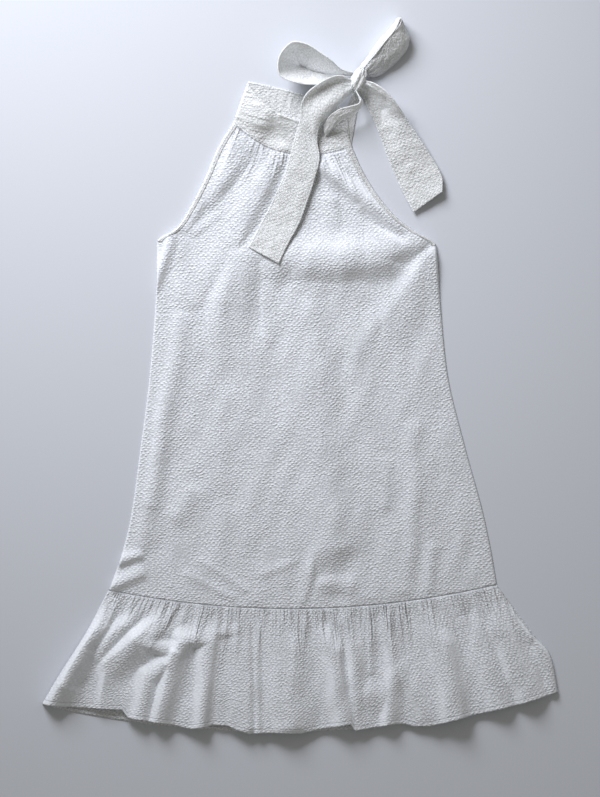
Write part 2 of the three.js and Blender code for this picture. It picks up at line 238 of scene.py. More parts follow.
# %% [markdown]
# ## Seersucker
#
# Seersucker is woven with slack and tight threads, so it puckers by itself: columns of little crosswise
# bumps, about 7 mm apart, each row half a step aside from the last. The bumps are far too many to model, so
# they are a height pattern in the material. It follows the piece's own `Cut` map, which holds metres on the
# flat cloth, so the bumps turn with the grain of each piece. A Voronoi texture that is only half random
# gives one dome to each cell of a loose net of diamonds, and noise shifts the net and makes the domes
# uneven. The same pattern also gives painted shade: it darkens the colour a little in the dips between the
# bumps, where light is lost. Two values stored on the vertices change it from place to place: `Slack` says
# where the cloth is pulled smooth, and `Gathers` holds the way along a gathered seam, the way down from it,
# and how strongly the cloth is drawn in there.

# %% The pucker group
pucker, given, result = new_group(
    "Seersucker pucker",
    [("Cut", "NodeSocketVector", None), ("Slack", "NodeSocketFloat", 1.0),
     ("Gathers", "NodeSocketVector", None), ("Bump height", "NodeSocketFloat", 0.5)],
    ["Height", "Painted dip shade"],
)
on_cloth = given.outputs["Cut"]
print(pucker.name, "takes", [socket.name for socket in given.outputs if socket.name])

# %% [markdown]
# First come the domes. Two noises push the place on the cloth aside, one over centimetres and one over
# millimetres. The Voronoi texture is turned by 45 degrees, so that its square net stands on its corners,
# and the way from the middle of the nearest cell is turned back, so that a dome can be made wider than it
# is tall.

# %% Domes
PUCKER_PITCH = 0.0049
PUCKER_SHAPE = (0.8, 1.28, 1.0)        # below 1 makes each pucker wider, above 1 narrower
PUCKER_REACH = 0.58                    # where a dome ends, in pitches from its middle
NET_JITTER = 0.45                      # 0 is a square net, 1 has no order left
NET_TURN = math.pi / 4
WARPS = ((22.0, 0.005), (130.0, 0.0018))   # scale of the noise, and how far it pushes in metres

place = on_cloth
for scale, reach in WARPS:
    push = vector_math(pucker, "SUBTRACT", noise(pucker, on_cloth, scale, 0.0, "Color"), (0.5, 0.5, 0.5))
    push = put(pucker, "ShaderNodeVectorMath", {0: push, "Scale": reach}, operation="SCALE").outputs[0]
    place = vector_math(pucker, "ADD", place, push)
place = turned(pucker, place, NET_TURN)
net = {"Vector": place, "Scale": 1 / PUCKER_PITCH, "Randomness": NET_JITTER}
cells = put(pucker, "ShaderNodeTexVoronoi", net, voronoi_dimensions="2D")
from_middle = vector_math(pucker, "SUBTRACT", place, cells.outputs["Position"])
from_middle = vector_math(pucker, "MULTIPLY", turned(pucker, from_middle, -NET_TURN), PUCKER_SHAPE)
distance = put(pucker, "ShaderNodeVectorMath", {0: from_middle}, operation="LENGTH").outputs["Value"]
domes = soft_range(pucker, distance, PUCKER_REACH * PUCKER_PITCH, 0.0)
print("puckers:", round(PUCKER_PITCH * math.sqrt(2) / MM, 1), "mm from row to row of the same column")

# %% [markdown]
# A patchy noise makes some domes stronger than others, and a finer one adds the crinkle between them. The
# threads are only a faint grid. All of this is scaled by `Bump height` and by `Slack`. The gathers are a
# noise drawn out along the way down from the seam, so each crease fades at its own length.

# %% Unevenness, threads and gathers
PATCH_SCALE, PATCH_GAIN, PATCH_BASE = 110.0, 2.4, -0.25
CRINKLE_SCALE, CRINKLE_GAIN, CRINKLE_BASE = 330.0, 2.2, -1.1
THREAD_PITCH = 0.0009
THREAD_HEIGHT = 0.012
GATHER_DEPTH = 7.0      # in mm, from the deepest crease to the highest ridge
DIP_RANGE = (0.7, -0.15)    # heights of the bumps at which the painted shade in the dips starts, and where it is darkest

patches = noise(pucker, on_cloth, PATCH_SCALE, 1.0)
patches = calculate(pucker, "MULTIPLY_ADD", patches, PATCH_GAIN, PATCH_BASE)
crinkle = noise(pucker, on_cloth, CRINKLE_SCALE, 2.0)
crinkle = calculate(pucker, "MULTIPLY_ADD", crinkle, CRINKLE_GAIN, CRINKLE_BASE)
bumps = calculate(pucker, "ADD", calculate(pucker, "MULTIPLY", domes, patches), crinkle)
height = calculate(pucker, "MULTIPLY", bumps, given.outputs["Bump height"])
height = calculate(pucker, "MULTIPLY", height, given.outputs["Slack"])

axes = put(pucker, "ShaderNodeSeparateXYZ", {0: on_cloth})
threads = calculate(pucker, "MULTIPLY", wave(pucker, axes.outputs["X"], THREAD_PITCH),
                    wave(pucker, axes.outputs["Y"], THREAD_PITCH))
height = calculate(pucker, "MULTIPLY_ADD", threads, THREAD_HEIGHT, height)

drawn = put(pucker, "ShaderNodeSeparateXYZ", {0: given.outputs["Gathers"]})
lines = put(pucker, "ShaderNodeCombineXYZ", {"X": drawn.outputs["X"], "Y": drawn.outputs["Y"]})
crease = calculate(pucker, "MULTIPLY", noise(pucker, lines.outputs[0], 1.0, 1.0), drawn.outputs["Z"])
height = calculate(pucker, "MULTIPLY_ADD", crease, GATHER_DEPTH, height)

# painted shade in the dips between the bumps, weaker where the cloth is pulled smooth
dip_shade_mask = calculate(pucker, "MULTIPLY", soft_range(pucker, bumps, *DIP_RANGE), given.outputs["Slack"])
fill(result, {"Height": height, "Painted dip shade": dip_shade_mask})
print(pucker.name, "has", len(pucker.nodes), "nodes")

# %% [markdown]
# ## Stitch lines
#
# Topstitching pulls the cloth down into a fine groove beside an edge, with the thread showing as short
# dashes. A second map, `Edge`, holds the distance from the stitched edge and the way along it, so one group
# can draw the groove at any distance on any piece.

# %% The stitch group
STITCH_LENGTH = 0.0028
STITCH_WIDTH = 0.0011
STITCH_ENDS = (-0.5, 0.3)   # heights of the wave at which a stitch ends, and where it is full
GROOVE_DEPTH = 0.55     # in mm
THREAD_RISE = 0.25

stitches, given, result = new_group(
    "Stitch line",
    [("Edge", "NodeSocketVector", None), ("Distance", "NodeSocketFloat", 0.003)],
    ["Groove", "Height"],
)
axes = put(stitches, "ShaderNodeSeparateXYZ", {0: given.outputs["Edge"]})
away = calculate(stitches, "ABSOLUTE",
                 calculate(stitches, "SUBTRACT", axes.outputs["X"], given.outputs["Distance"]))
# the groove's mask also serves as painted shade in the cloth's colour, where the groove sinks in
groove = soft_range(stitches, away, STITCH_WIDTH, 0.0)
dash = soft_range(stitches, wave(stitches, axes.outputs["Y"], STITCH_LENGTH), *STITCH_ENDS)
dug = calculate(stitches, "MULTIPLY", groove, -GROOVE_DEPTH)
raised = calculate(stitches, "MULTIPLY", calculate(stitches, "MULTIPLY", groove, dash), THREAD_RISE)
fill(result, {"Groove": groove, "Height": calculate(stitches, "ADD", dug, raised)})
print(stitches.name, "has", len(stitches.nodes), "nodes")

# %% [markdown]
# ## The two finishes
#
# The single layers of the body and ruffle and the double layers of the neckband are the same cotton, with
# puckers of nearly the same height. So one function makes both. A weak sheen stands for the fuzz of the
# cotton, and the roughness is high, because cotton hardly shines.

# %% A cotton for any layer
DIP_SHADE = 0.74         # share of its lightness that the cloth keeps in its painted shade, between its puckers and in its stitch grooves
MATT = {"Roughness": 0.9, "Specular IOR Level": 0.25, "Sheen Weight": 0.12, "Sheen Roughness": 0.6}
SOAK = {"Subsurface Radius": (1.0, 1.0, 1.0), "Subsurface Scale": 0.005}
MIX_FACTOR, MIX_LIGHT, MIX_DARK, MIX_RESULT = 0, 6, 7, 2    # sockets of a Mix node for colours


def cotton(name, color, bump_height, stitch_distance, see_through):
    """White seersucker, with a stitch line at a distance in metres from the piece's edge."""
    material, shader = new_material(name)
    tree = material.node_tree
    cut, edge = (put(tree, "ShaderNodeUVMap", uv_map=key).outputs["UV"] for key in ("Cut", "Edge"))
    slack, drawn = (put(tree, "ShaderNodeAttribute", attribute_name=key) for key in ("Slack", "Gathers"))
    puckers = put(tree, "ShaderNodeGroup", node_tree=pucker)
    fill(puckers, {"Cut": cut, "Slack": slack.outputs["Fac"], "Gathers": drawn.outputs["Vector"],
                   "Bump height": bump_height})
    sewn = put(tree, "ShaderNodeGroup", {"Edge": edge, "Distance": stitch_distance}, node_tree=stitches)
    # painted shade: the dips between the puckers and the stitch grooves darken the cloth's colour
    painted_shade_mask = calculate(tree, "MAXIMUM", puckers.outputs["Painted dip shade"], sewn.outputs["Groove"])
    shaded = tuple(part * DIP_SHADE for part in color[:3]) + (1.0,)
    tone = put(tree, "ShaderNodeMix", data_type="RGBA")
    fill(tone, {MIX_FACTOR: painted_shade_mask, MIX_LIGHT: color, MIX_DARK: shaded})
    height = calculate(tree, "ADD", puckers.outputs["Height"], sewn.outputs["Height"])
    bump = put(tree, "ShaderNodeBump", {"Strength": 1.0, "Distance": MM, "Height": height})
    fill(shader, {"Base Color": tone.outputs[MIX_RESULT], "Normal": bump.outputs["Normal"],
                  "Subsurface Weight": see_through, **MATT, **SOAK})
    return material


print("dips keep", DIP_SHADE, "of the cloth's lightness")

# %% [markdown]
# Light soaks into the thick double layers, which is a subsurface setting here. It loses some light in so
# thin a wall, so their base colour is set lighter than that of the single layers, to come out the same.

# %% The cloth's and the band's finish
WHITE_COTTON = (0.893, 0.915, 0.968, 1.0)
DOUBLE_COTTON = (0.940, 0.954, 0.966, 1.0)

CLOTH_FINISH = cotton("Seersucker cloth", WHITE_COTTON,
                      bump_height=0.7, stitch_distance=0.006, see_through=0.0)
BAND_FINISH = cotton("Seersucker band", DOUBLE_COTTON,
                     bump_height=0.75, stitch_distance=0.0032, see_through=0.7)
print("finishes:", CLOTH_FINISH.name, "and", BAND_FINISH.name)

# %% [markdown]
# ## Floor
#
# A plain, faintly blue-white sheet lies under the dress. It isn't part of the dress.

# %% Floor
FLOOR_HALF = 4.0
BED_SHEET = (0.652, 0.672, 0.728, 1.0)

floor_mesh = bpy.data.meshes.new("floor")
floor_shape = bmesh.new()
bmesh.ops.create_grid(floor_shape, x_segments=1, y_segments=1, size=FLOOR_HALF)
floor_shape.to_mesh(floor_mesh)
floor_shape.free()
floor = new_object("floor", floor_mesh)
floor_finish, floor_shader = new_material("Bed sheet")
fill(floor_shader, {"Base Color": BED_SHEET, "Roughness": 0.9, "Specular IOR Level": 0.2})
floor_mesh.materials.append(floor_finish)
print("floor:", 2 * FLOOR_HALF, "metres square")

# %% [markdown]
# ## The plan of a panel
#
# A flat panel is described by a few crosswise rows: where each row starts and ends, and how far its middle
# hangs down or lies to the side. Smooth curves through the rows give the rest of its outline. `along` joins
# the rows without overshooting, and `plan_of` makes a function that turns (u, v), from 0 to 1 across and
# down the panel, into x and y.

# %% From rows to a plan
ROW = ("left_x", "left_y", "right_x", "right_y", "skew", "sag")


def table(columns, rows):
    """One array for each named column."""
    return {name: np.array([row[i] for row in rows], float) for i, name in enumerate(columns)}


def along(values, places, t):
    """A value between several, with `places` rising from 0 to 1, by a curve that never overshoots."""
    steps = np.diff(values) / np.diff(places)
    tangents = np.concatenate([steps[:1], np.zeros(len(steps) - 1), steps[-1:]])
    for k in range(1, len(steps)):
        before, after = steps[k - 1], steps[k]
        if before * after > 0:
            tangents[k] = 2 * before * after / (before + after)
    i = np.clip(np.searchsorted(places, t, side="right") - 1, 0, len(steps) - 1)
    span = places[i + 1] - places[i]
    s = (t - places[i]) / span
    return ((2 * s**3 - 3 * s**2 + 1) * values[i] + (s**3 - 2 * s**2 + s) * span * tangents[i]
            + (3 * s**2 - 2 * s**3) * values[i + 1] + (s**3 - s**2) * span * tangents[i + 1])


def plan_of(rows, shift_y=0.0):
    """The plan of a panel: a function of (u, v) that gives x and y."""
    shape = table(ROW, rows)
    middles = (shape["left_y"] + shape["right_y"]) / 2 - shape["sag"]
    places = (middles - middles[0]) / (middles[-1] - middles[0])

    def plan(u, v):
        at = {name: along(shape[name], places, v) for name in ROW}
        arch = 4 * u * (1 - u)
        x = at["left_x"] * (1 - u) + at["right_x"] * u + arch * at["skew"]
        y = at["left_y"] * (1 - u) + at["right_y"] * u - arch * at["sag"] + shift_y
        return x, y

    return plan


print("a row holds", ", ".join(ROW))

# %% [markdown]
# A panel is worked out on a grid of such points, and most of what happens on it depends on how far a point
# is from an edge. Two soft changes serve for all of that: a step, and a bell.


# %% Grids and soft changes
def smooth(start, end, value):
    """0 up to `start`, 1 past `end`, and a soft step between them."""
    t = np.clip((value - start) / (end - start), 0, 1)
    return t * t * (3 - 2 * t)


def fade(distance, reach):
    """1 at no distance, falling softly to nothing beyond `reach`."""
    return np.exp(-((distance / reach) ** 2))


def spread(plan, columns, rows, crowd=0.0):
    """A panel's grid: u, v, x, y, and how far each point is from the top edge and from the bottom one.

    `crowd` draws the columns towards both sides, where edges curve most.
    """
    s = np.linspace(0, 1, columns + 1)
    across = (1 - crowd) * s + crowd * (0.5 - 0.5 * np.cos(math.pi * s))
    u, v = np.meshgrid(across, np.linspace(0, 1, rows + 1))
    x, y = plan(u, v)
    return u, v, x, y, plan(u, 0 * v)[1] - y, y - plan(u, 0 * v + 1)[1]


def side_distance(plan, u, v):
    """How far a point is from the nearer side of its panel, in mm."""
    width = plan(0 * u + 1, v)[0] - plan(0 * u, v)[0]
    return np.minimum(u, 1 - u) * width


def stack(*parts):
    """Arrays of x, y and z as one array of points."""
    return np.stack(np.broadcast_arrays(*parts), axis=-1)


print("a soft step a quarter of the way up:", smooth(0, 1, 0.25))

# %% [markdown]
# ## Folds
#
# Each fold is a soft ridge from one point of the plan to another, or a trough if its height is below zero.
# It may bend sideways in the middle. The side to the left of its way is the one where the cloth has slumped
# over itself: it has a width of its own, and an edge that is round at 2 and drops like a step above that.
# Rows that follow on from each other make one ridge. Where two ridges meet, the cloth follows the higher
# one, with a soft change.

# %% Ridges and troughs
FOLD = (
    "from_x", "from_y", "to_x", "to_y",     # on the plan, in mm
    "bend", "from_height", "to_height",
    "width", "drop", "edge",                # on the right, on the left, and how steep the left is
)
SOFTNESS = 10           # how sharply the higher of two ridges wins
RUN_ON = 0.7            # how far a ridge runs on past its ends, in widths


def lift_of(folds, x, y):
    """How high a set of folds lifts the cloth at points of the plan."""
    up, down, ridge = 0.0 * x, 0.0 * x, 0.0 * x
    ended = None
    for row in folds:
        f = dict(zip(FOLD, row))
        dx, dy = f["to_x"] - f["from_x"], f["to_y"] - f["from_y"]
        length = math.hypot(dx, dy)
        t = ((x - f["from_x"]) * dx + (y - f["from_y"]) * dy) / length**2
        inside = np.clip(t, 0, 1)
        side = ((x - f["from_x"]) * dy - (y - f["from_y"]) * dx) / length
        side = side + f["bend"] * 4 * inside * (1 - inside)
        past = (t - inside) * length
        slumped = np.exp(-(np.abs(side) / f["drop"]) ** f["edge"])
        shape = np.where(side < 0, slumped, fade(side, f["width"]))
        reach = f["width"] + (f["drop"] - f["width"]) * smooth(1, -1, side / min(f["width"], f["drop"]))
        shape = shape * fade(past, RUN_ON * reach)
        height = (f["from_height"] + (f["to_height"] - f["from_height"]) * inside) * shape
        if (f["from_x"], f["from_y"]) == ended:
            ridge = np.where(np.abs(height) > np.abs(ridge), height, ridge)
        else:
            up, down = up + np.maximum(ridge, 0) ** SOFTNESS, down + np.maximum(-ridge, 0) ** SOFTNESS
            ridge = height
        ended = (f["to_x"], f["to_y"])
    up, down = up + np.maximum(ridge, 0) ** SOFTNESS, down + np.maximum(-ridge, 0) ** SOFTNESS
    return up ** (1 / SOFTNESS) - down ** (1 / SOFTNESS)


print("a fold holds", len(FOLD), "numbers")

# %% [markdown]
# Cloth has no flat spot and no repeat between its folds either. A noise texture would do, but a sum of many
# slow waves is as easy, and it can be stretched along the cloth.


# %% Slow unevenness
WAVES = 36


def slow_waves(x, y, seed, longest, shortest, stretch):
    """Soft unevenness of about 1 either way. `stretch` makes it longer along y than along x."""
    random = np.random.default_rng(seed)
    total = np.zeros_like(x)
    power = 0.0
    for _ in range(WAVES):
        wavelength = longest * (shortest / longest) ** random.random()
        angle = random.uniform(0, 2 * math.pi)
        kx = 2 * math.pi / wavelength * math.cos(angle)
        ky = 2 * math.pi / wavelength * math.sin(angle) / stretch
        weight = wavelength / longest
        total += weight * np.cos(kx * x + ky * y + random.uniform(0, 2 * math.pi))
        power += weight**2 / 2
    return total / math.sqrt(power)


print(WAVES, "waves make the unevenness")

# %% [markdown]
# ## Gathers and rolled seams
#
# Gathers are too fine to be modelled, so a piece only stores where they lie, and the material draws them.
# No two are alike: slow waves change their spacing, their strength and how far each one runs down. At a
# side seam the upper layer rolls down to the lower one in a quarter round.

# %% Helpers for gathers and seams
GATHER_PITCH = 5.5
GATHER_WANDER = 2.5     # how far slow waves push a gather aside
GATHER_RUN = 0.1        # how little a gather changes on its way down
REACH_LIMITS = (0.35, 2.2)
STRENGTH_LIMITS = (0.5, 1.8)


def gathers(x, down, groups):
    """Along a seam, down from it, and how strongly it is gathered. Each group is a stretch of the seam."""
    g = table(("from_x", "to_x", "reach", "strength", "lean"), groups)
    middles = (g["from_x"] + g["to_x"]) / 2
    reach, strength, lean = (np.interp(x, middles, g[name]) for name in ("reach", "strength", "lean"))
    foot = x - lean * down
    wander, uneven = (
        slow_waves(foot, 0 * foot, seed, longest=48, shortest=10, stretch=1.0) for seed in (51, 52)
    )
    reach = reach * np.clip(1 + 0.45 * uneven, *REACH_LIMITS)
    across = (foot + GATHER_WANDER * wander) / GATHER_PITCH
    pull = fade(down, reach) * smooth(-0.5, 1.5, down) * np.clip(1.3 + 0.3 * wander, *STRENGTH_LIMITS)
    return stack(across, down / GATHER_PITCH * GATHER_RUN, strength * pull)


def seam_roll(height, floor_height, distance, radius):
    """Turns a layer's edge down in a quarter round, to the layer that it is sewn to."""
    s = np.clip(distance / radius, 0, 1)
    return floor_height + (height - floor_height) * np.sqrt(1 - (1 - s) ** 2)


print("gathers are about", GATHER_PITCH, "mm apart")

# %% [markdown]
# ## From a grid of points to a piece of cloth
#
# Every piece starts as a bmesh shape. Its vertices are moved to their places, it gets its two maps, and it
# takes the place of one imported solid. Where a fold is steep its cloth is pulled straight, so `Slack` falls
# there and the puckers fade.

# %% What every piece needs
SINGLE = {"finish": CLOTH_FINISH, "slot": "seersucker", "wall": 1.0}
DOUBLE = {"finish": BAND_FINISH, "slot": "seersucker_band", "wall": 1.5}
NO_STITCH = 50.0        # mm from a stitched edge that is too far for any stitch line
LEVEL, STEEP = 0.96, 0.84   # z of the normal where cloth starts to be steep, and where it is steepest
PULLED = 0.6            # slack that the steepest cloth loses


def slack_of(points):
    """How slack a grid of cloth is: 1 where it lies level, less where it is steep."""
    normal = np.cross(np.gradient(points, axis=1), np.gradient(points, axis=0))
    level = np.abs(normal[..., 2]) / np.maximum(np.linalg.norm(normal, axis=-1), 1e-9)
    return 1 - PULLED * smooth(LEVEL, STEEP, level)


def mesh_from(shape, name):
    """A mesh made from a bmesh, and the places of its vertices."""
    mesh = bpy.data.meshes.new(name)
    shape.to_mesh(mesh)
    shape.free()
    places = np.empty(len(mesh.vertices) * 3)
    mesh.vertices.foreach_get("co", places)
    return mesh, places.reshape(-1, 3)


def store(mesh, places, slack, **maps):
    """Moves the vertices to places in mm, and stores their slack and their maps."""
    mesh.vertices.foreach_set("co", ((places + SHIFT) * MM).ravel())
    corners = np.empty(len(mesh.loops), int)
    mesh.loops.foreach_get("vertex_index", corners)
    for name, values in maps.items():
        mesh.uv_layers.new(name=name).data.foreach_set("uv", (values[corners] * MM).ravel())
    mesh.attributes.new("Slack", "FLOAT", "POINT").data.foreach_set("value", slack)


def piece_from(mesh, node, finish, slot):
    """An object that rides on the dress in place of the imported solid."""
    mesh.polygons.foreach_set("use_smooth", np.ones(len(mesh.polygons), bool))
    mesh.materials.append(finish)
    mesh.update()
    piece = new_object(node + "_cloth", mesh)
    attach(piece, "root")
    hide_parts(node)
    area = sum(face.area for face in mesh.polygons)
    print(f"{piece.name}: {len(mesh.polygons)} faces, {area:.4f} square metres")
    return piece


print("walls:", SINGLE["wall"], "mm for one layer and", DOUBLE["wall"], "mm for the band")

# %% [markdown]
# A sheet is a bmesh grid, and a Solidify modifier makes it a thin wall. The wall grows downwards from a
# panel, because the panel's table describes its top.


# %% A sheet of cloth
def piece_of_cloth(node, points, cut, edge, finish, slot, wall, offset=-1.0, slack=None, drawn=None):
    """A sheet from a grid of points in mm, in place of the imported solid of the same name."""
    rows, columns = points.shape[0] - 1, points.shape[1] - 1
    shape = bmesh.new()
    bmesh.ops.create_grid(shape, x_segments=columns, y_segments=rows, size=1.0)
    mesh, flat = mesh_from(shape, node + "_cloth")
    i = np.rint((flat[:, 0] + 1) / 2 * columns).astype(int)
    j = np.rint((1 - flat[:, 1]) / 2 * rows).astype(int)
    slack = slack_of(points) if slack is None else slack
    store(mesh, points[j, i], slack[j, i], Cut=cut[j, i], Edge=edge[j, i])
    if drawn is not None:
        pulled = mesh.attributes.new("Gathers", "FLOAT_VECTOR", "POINT")
        pulled.data.foreach_set("vector", drawn[j, i].ravel())
    piece = piece_from(mesh, node, finish, slot)
    solidify = piece.modifiers.new("wall", "SOLIDIFY")
    solidify.thickness = wall * MM
    solidify.offset = offset
    solidify.use_quality_normals = True
    return piece


print("ready to lay out", len(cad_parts), "pieces")

# %% [markdown]
# ## Front and back panels
#
# The body is cut as two long panels that widen to the dropped waist. The front is gathered into the
# neckband, so folds fan out from the neck: two long ones towards the left armhole, and one from the knot to
# the right underarm. A roll of spare cloth lies across the bust. Below it the skirt has only soft
# undulations and a few small dents. Each ridge here was placed one by one, because a simulation would put
# them anywhere.

# %% Tables of the body
BODY = [
    (-100, 434, 78, 396, -11, 28),  # neck seam
    (-123, 396, 93, 363, -7, 24),
    (-142, 352, 112, 331, -4, 18),
    (-165, 306, 142, 294, -2, 12),
    (-186, 274, 171, 271, 0, 9),
    (-214, 255, 204, 249, 0, 8),  # underarm points
    (-216, 180, 210, 168, 0, 3),
    (-225, 60, 220, 63, 0, 2),
    (-240, -60, 247, -52, 0, 6),
    (-255, -165, 273, -147, 0, 16),
    (-271, -225, 285, -202, 0, 25),
    (-287, -268, 295, -260, 0, 32),  # dropped waist seam
]

FRONT_FOLDS = [
    (-72, 408, -117, 347, 2, 5, 7, 26, 16, 2.4),  # from the neck to the left armhole
    (-117, 347, -144, 317, 0, 7, 5, 26, 15, 2.4),
    (-144, 317, -171, 276, 0, 5, 3, 16, 9, 2),
    (-26, 396, -52, 338, 1, 5, 7, 20, 12, 2.2),  # from the neck, beside the tail
    (-52, 338, -94, 257, -3, 7, 8.5, 30, 14, 2.4),
    (-94, 257, -153, 167, 2, 9, 3, 32, 14, 2.4),
    (-93, 233, -111, 167, 0, 10, 11, 25, 36, 2.4),
    (-111, 167, -117, 92, 0, 11, 3, 25, 36, 2.4),
    (-93, 309, -156, 269, 0, 2, 2, 10, 8, 2),
    (177, 258, 124, 236, 0, 8, 13, 30, 20, 2.8),  # the roll across the bust
    (124, 236, 63, 230, 0, 13, 15, 30, 30, 3),
    (63, 230, -4, 230, 0, 15, 12, 30, 33, 2.8),
    (-4, 230, -42, 225, 0, 13, 9, 29, 30, 2.2),
    (-42, 225, -80, 243, 0, 8, 5, 26, 12, 2),
    (69, 212, 0, 203, 0, 4, 4, 24, 40, 2),
    (-54, 110, -57, 224, 0, 2, 3, 22, 4, 2),
    (165, 258, 99, 315, 0, 8, 12, 16, 13, 2.4),  # from the right underarm to the knot
    (99, 315, 33, 368, 0, 12, 9, 15, 11, 2.6),
    (154, 261, 99, 299, 0, -5, -1, 10, 10, 2),
    (50, 317, 60, 269, -1, 3, 2.2, 14, 6, 2),
    (66, 365, 99, 332, 0, 3, 2, 12, 8, 2),
    (-186, 281, -225, 173, 2, 5, 6, 9, 8, 2.4),  # left side rolling under
    (195, 233, 132, 140, 0, 8, 4, 14, 40, 2),  # below the right underarm
    (-180, 140, -201, 17, 1, 2.5, 5.5, 12, 15, 2.2),  # left side of the skirt
    (-201, 17, -224, -141, 0, 5.5, 6, 14, 14, 2.4),
    (-225, -141, -237, -201, 0, 5, 3, 12, 15, 2),
    (-162, -121, -183, -157, 0, 3, 3, 14, 18, 2),
    (21, 173, 27, 17, 0, 3, 5.5, 46, 22, 2),  # middle of the skirt
    (27, 17, 36, -88, 0, 5.5, 5.5, 46, 22, 2),
    (36, -88, 54, -201, 0, 5.5, 9, 46, 26, 2.2),
    (6, -19, -12, -55, 0, 2.4, 1.6, 18, 11, 2),
    (78, -207, 24, -210, 0, 3, 4, 20, 10, 2.2),  # a dent above the waist seam
    (24, -210, 6, -283, 1, 6, 3, 16, 6, 2.2),
    (75, -261, 36, -256, 0, 3.5, 4, 12, 14, 2.4),
    (0, -223, -57, -246, 0, 1.8, 1.4, 10, 6, 2),
    (168, -25, 171, -133, 0, 2, 4, 13, 13, 2.2),  # right of the skirt
    (171, -133, 162, -268, 0, 4, 4, 13, 12, 2.2),
    (132, -76, 129, -141, 0, 2, 2, 12, 8, 2),
    (198, -205, 195, -265, 0, 2, 2.4, 10, 9, 2),
    (114, 134, 78, 89, 0, 2.4, 2, 24, 16, 2),
    (-150, -223, -81, -268, 2, 1.2, 1.8, 6, 5, 2),  # fine drag lines over the seam at the left
    (-171, -243, -102, -279, 0, 1.2, 1.8, 6, 5, 2),
    (-240, -216, -270, -225, 0, 5, 7, 11, 7, 2.4),  # the corner that is turned up
    (-237, -243, -280, -262, 0, 4, 7, 12, 8, 2.4),
]

NECK_GATHERS = [
    # from_x, to_x, reach down, strength, lean
    (-100, -70, 34, 1.0, -0.45),
    (-70, -18, 30, 1.0, -0.25),
    (-18, 34, 28, 0.8, 0.0),
    (34, 78, 36, 1.0, 0.45),
]

print(len(FRONT_FOLDS), "folds on the front")

# %% The front
FRONT_COLUMNS, FRONT_ROWS = 200, 245
SIDE_ROLL = 3.5         # radius of the front's rolled sides
SEAM_DIP = 0.1          # how far a seam sinks in
SEAM_REACH = 2.0        # how far from the seam it does
PUFF_RISE = 24          # how quickly the front rises from its side seams
FRONT_UNEVEN = 0.55     # height of the slow unevenness
FRONT_CREASES = 0.25    # depth of the fine creases

front_plan = plan_of(BODY)


def puff_at(u):
    """The front stands off the back everywhere but at the side seams."""
    return PUFF * (1 - np.exp(-PUFF_RISE * u * (1 - u)))


def front_height(u, x, y):
    """The top of the front panel."""
    return FRONT_BOTTOM + CLOTH + puff_at(u) + lift_of(FRONT_FOLDS, x, y)


u, v, x, y, from_neck, from_waist = spread(front_plan, FRONT_COLUMNS, FRONT_ROWS, crowd=0.5)
from_side = side_distance(front_plan, u, v)
inner = smooth(0, 30, from_side) * smooth(0, 14, from_waist)
height = front_height(u, x, y)
height += FRONT_UNEVEN * inner * slow_waves(x, y, seed=5, longest=90, shortest=22, stretch=1.8)
creases = 1 - np.abs(slow_waves(x, y, seed=8, longest=110, shortest=30, stretch=1.5))
height -= FRONT_CREASES * inner * creases
height = seam_roll(height, CLOTH, from_side, SIDE_ROLL)
height -= SEAM_DIP * fade(from_waist, SEAM_REACH)
front = piece_of_cloth("front_panel", stack(x, y, height), stack(x, y), stack(NO_STITCH, x), **SINGLE,
                       drawn=gathers(x, from_neck, NECK_GATHERS))

# %% [markdown]
# The back panel is the same shape with a shallower neck. It lies flat under the front and hardly shows.

# %% The back
BACK_NECK_SAG = 8

back_plan = plan_of([(-100, 434, 78, 396, 0, BACK_NECK_SAG)] + BODY[1:])
u, v, x, y, from_neck, from_waist = spread(back_plan, 60, 90)
back = piece_of_cloth("back_panel", stack(x, y, CLOTH), stack(x, y), stack(from_waist, x), **SINGLE)

# %% [markdown]
# ## Ruffle
#
# The ruffle is a straight strip, gathered into the waist seam. Its fullness has to go somewhere, so it
# stands in ridges that run down from the seam and open towards the hem, and the hem rises and falls with
# them. On the left the folds have been pushed over and lean on each other. The fine gathers right below the
# seam come from a seeded random, and the big folds from the table.

# %% Tables of the ruffle
RUFFLE = [
    (-287, -268, 295, -260, 0, 32),  # dropped waist seam
    (-319, -328, 342, -327, 0, 29),
    (-355, -385, 376, -367, 0, 43),
    (-387, -438, 387, -420, 0, 52),  # hem
]

BACK_RUFFLE = [
    (-287, -268, 295, -260, 0, 32),
    (-319, -330, 343, -325, 0, 29),
    (-352, -392, 372, -368, 0, 40),
    (-372, -444, 380, -424, 0, 46),
]

